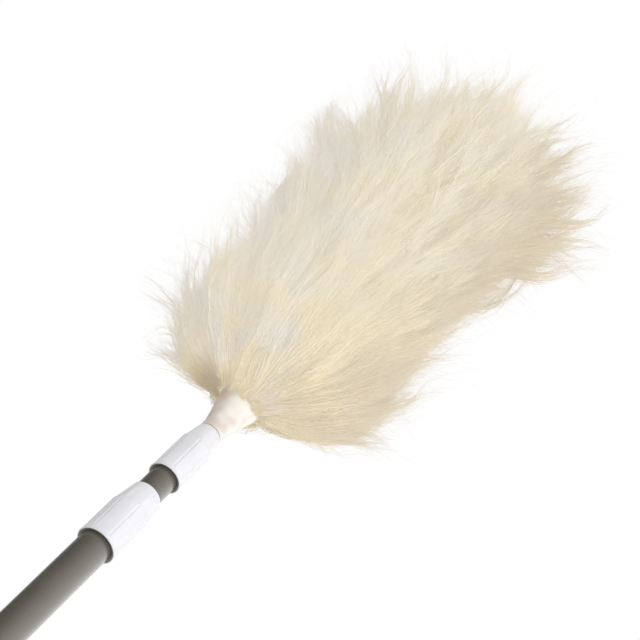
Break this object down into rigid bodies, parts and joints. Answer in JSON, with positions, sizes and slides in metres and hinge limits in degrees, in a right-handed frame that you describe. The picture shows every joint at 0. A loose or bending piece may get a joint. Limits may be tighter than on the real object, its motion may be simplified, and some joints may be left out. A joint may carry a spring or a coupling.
{
  "type": "telescopic lambswool duster",
  "caption": "Long-handled duster: telescopic painted pole with twist-lock collars, a moulded cone ferrule and a long shaggy wool head.",
  "frame": {"origin": "centre of the flat end face of the handle cap", "axes": "+Z along the pole from the handle cap to the wool; -X is the side where the wool flares out flat at the ferrule, +Y the side where it sweeps forward"},
  "size_m": [0.2212, 0.1947, 0.9472],
  "materials": {
    "tube_paint": "satin",
    "white_plastic": "satin",
    "ferrule_plastic": "satin",
    "bush_plastic": "matte",
    "bare_steel": "satin",
    "rod_wood": "matte",
    "hide_leather": "matte",
    "wool": "matte"
  },
  "bodies": {
    "outer_section": {"hang_cap": "white_plastic", "outer_tube": "tube_paint", "outer_collet": "white_plastic", "outer_collet_pin_left": "bare_steel", "outer_collet_pin_right": "bare_steel"},
    "outer_collar": {"outer_collar": "white_plastic"},
    "middle_guide": {"middle_guide_ring": "bush_plastic"},
    "middle_section": {"middle_end_plug": "bush_plastic", "middle_tube": "tube_paint", "inner_collet": "white_plastic", "inner_collet_pin_left": "bare_steel", "inner_collet_pin_right": "bare_steel"},
    "inner_collar": {"inner_collar": "white_plastic"},
    "inner_guide": {"inner_guide_ring": "bush_plastic"},
    "inner_section": {"inner_end_plug": "bush_plastic", "inner_tube": "tube_paint", "ferrule_cone": "ferrule_plastic", "rod_pin_left": "bare_steel", "rod_pin_right": "bare_steel", "core_rod": "rod_wood", "hide_strip": "hide_leather", "strip_tack_bottom": "bare_steel", "strip_tack_top": "bare_steel", "wool_pile": "wool"}
  },
  "joints": [
    {"name": "outer_collar_twist", "type": "hinge", "parent": "outer_section", "child": "outer_collar", "pos_m": [0, 0, 0.42], "axis": [0, 0, 1], "range_deg": [0, 270]},
    {"name": "middle_slide", "type": "slide", "parent": "outer_section", "child": "middle_guide", "axis": [0, 0, 1], "range_m": [-0.0185, 0.326]},
    {"name": "middle_spin", "type": "hinge", "parent": "middle_guide", "child": "middle_section", "pos_m": [0, 0, 0.09], "axis": [0, 0, 1], "continuous": true},
    {"name": "inner_collar_twist", "type": "hinge", "parent": "middle_section", "child": "inner_collar", "pos_m": [0, 0, 0.495], "axis": [0, 0, 1], "range_deg": [0, 270]},
    {"name": "inner_slide", "type": "slide", "parent": "middle_section", "child": "inner_guide", "axis": [0, 0, 1], "range_m": [0, 0.345]},
    {"name": "inner_spin", "type": "hinge", "parent": "inner_guide", "child": "inner_section", "pos_m": [0, 0, 0.145], "axis": [0, 0, 1], "continuous": true}
  ]
}
